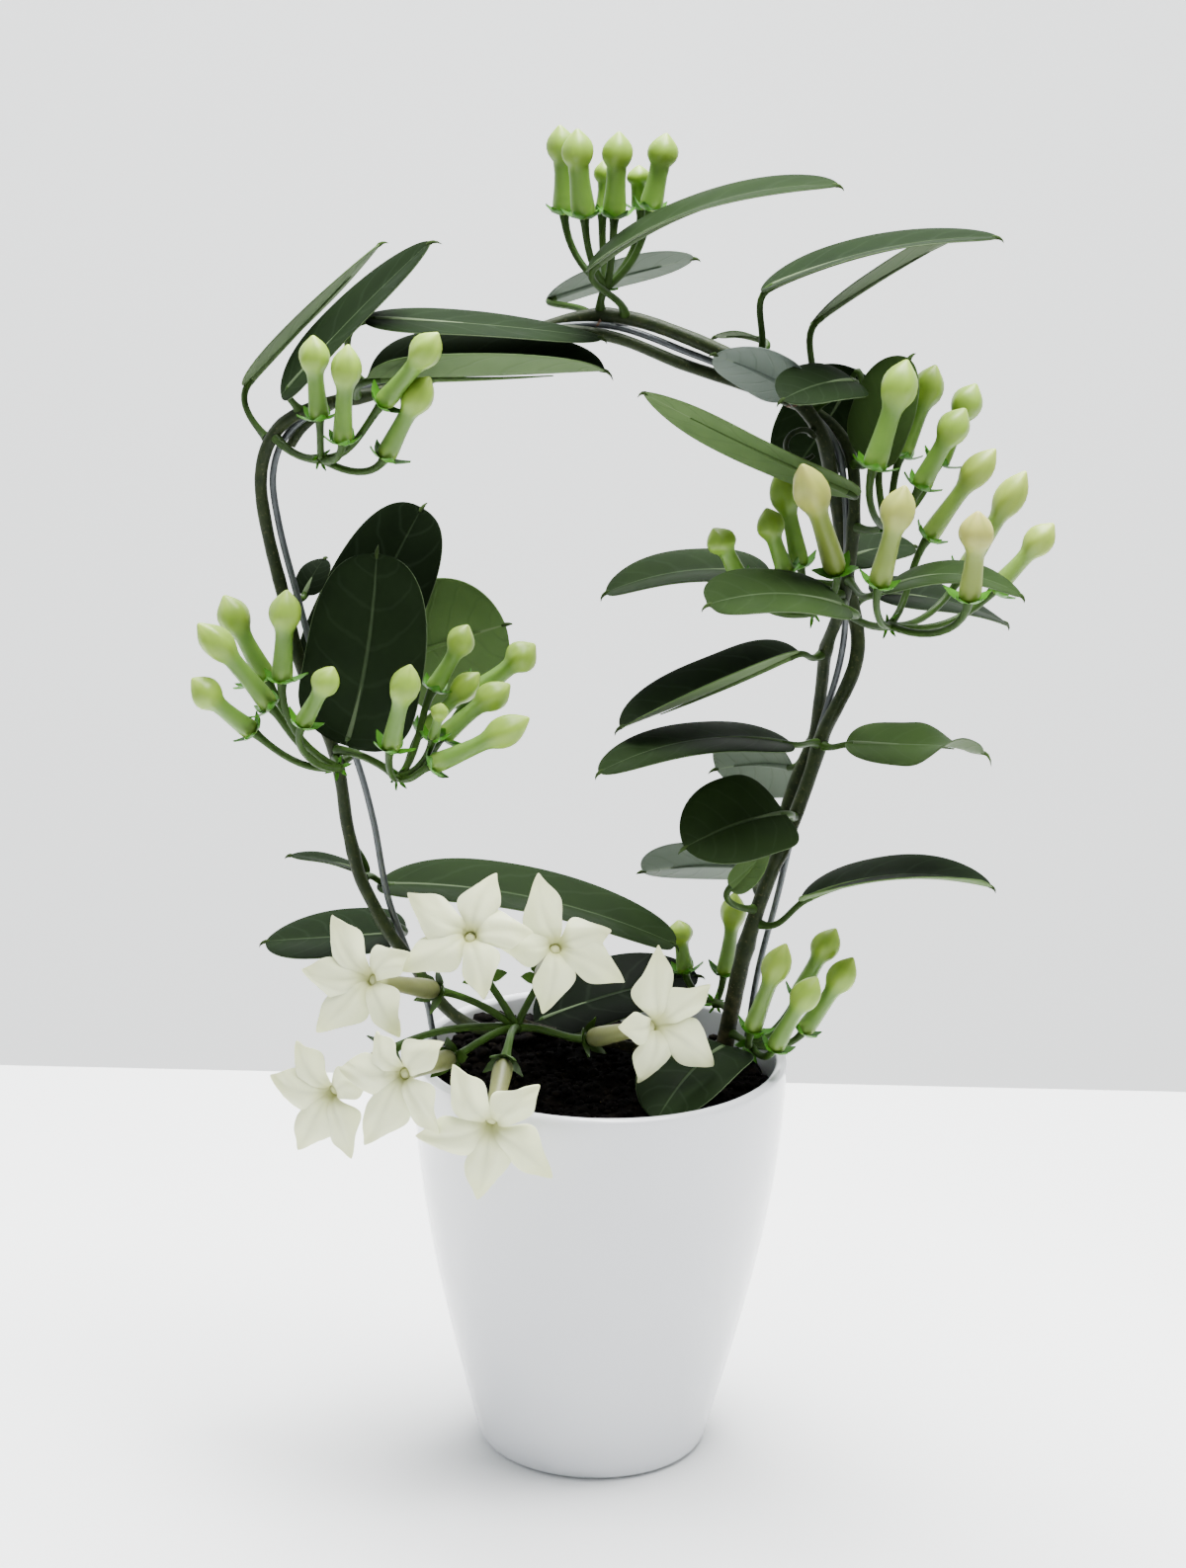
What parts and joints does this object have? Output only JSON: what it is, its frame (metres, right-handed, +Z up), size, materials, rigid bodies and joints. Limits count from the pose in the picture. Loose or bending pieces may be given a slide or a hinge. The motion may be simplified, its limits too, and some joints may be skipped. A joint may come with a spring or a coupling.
{
  "type": "potted climbing plant",
  "caption": "Climbing stephanotis with waxy white flowers, buds and leathery leaves, wound around a wire hoop in a round white glazed pot.",
  "frame": {"origin": "centre of the pot's flat underside, on the plane it stands on", "axes": "+Z up along the pot's axis; +X to the right and -Y to the front, the side that the open flowers hang over"},
  "size_m": [0.2948, 0.1545, 0.48],
  "materials": {
    "glazed_white": "glossy plain glaze",
    "peat": "dark crumbly potting soil",
    "coated_wire": "grey coated steel wire",
    "stem_bark": "green twining stem, woody at its foot",
    "leaf": "leathery, satin dark upper side and pale matte under side",
    "bud": "smooth waxy green-yellow",
    "petal": "thick waxy ivory"
  },
  "bodies": {
    "root": {"crown_buds": "bud", "curled_shoot": "stem_bark", "flower_1": "petal", "flower_2": "petal", "flower_3": "petal", "flower_4": "petal", "flower_5": "petal", "flower_6": "petal", "flower_7": "petal", "flower_stalks": "leaf", "leaf_behind_buds": "leaf", "leaf_crown_back": "leaf", "leaf_crown_right": "leaf", "leaf_inner_right_dark": "leaf", "leaf_inner_right_front": "leaf", "leaf_inner_right_hooked": "leaf", "leaf_inner_right_lower": "leaf", "leaf_inner_right_two_tone": "leaf", "leaf_left_big_back": "leaf", "leaf_left_big_front": "leaf", "leaf_left_low_dark": "leaf", "leaf_left_round": "leaf", "leaf_left_sliver": "leaf", "leaf_left_small_back": "leaf", "leaf_lower_back_grey": "leaf", "leaf_lower_inner_grey": "leaf", "leaf_lower_round_dark": "leaf", "leaf_outer_right_back": "leaf", "leaf_outer_right_front": "leaf", "leaf_outer_right_small": "leaf", "leaf_pot_dark_inner": "leaf", "leaf_pot_front_right": "leaf", "leaf_pot_long_green": "leaf", "leaf_right_low": "leaf", "leaf_right_wavy": "leaf", "leaf_shoulder_back": "leaf", "leaf_shoulder_dark": "leaf", "leaf_shoulder_grey": "leaf", "leaf_top_left_folded": "leaf", "leaf_top_left_long": "leaf", "leaf_top_right_lower": "leaf", "leaf_top_right_small": "leaf", "leaf_top_right_upper": "leaf", "leaf_upper_left_inner": "leaf", "leaf_upper_left_outer": "leaf", "leaf_young_leaf": "leaf", "left_buds": "bud", "left_inner_buds": "bud", "main_stem": "stem_bark", "pot": "glazed_white", "pot_back_buds": "bud", "pot_buds": "bud", "right_high_buds": "bud", "right_inner_buds": "bud", "right_low_buds": "bud", "second_stem": "stem_bark", "soil": "peat", "trailing_twig": "stem_bark", "upper_left_buds": "bud", "wire_hoop": "coated_wire"}
  },
  "joints": []
}
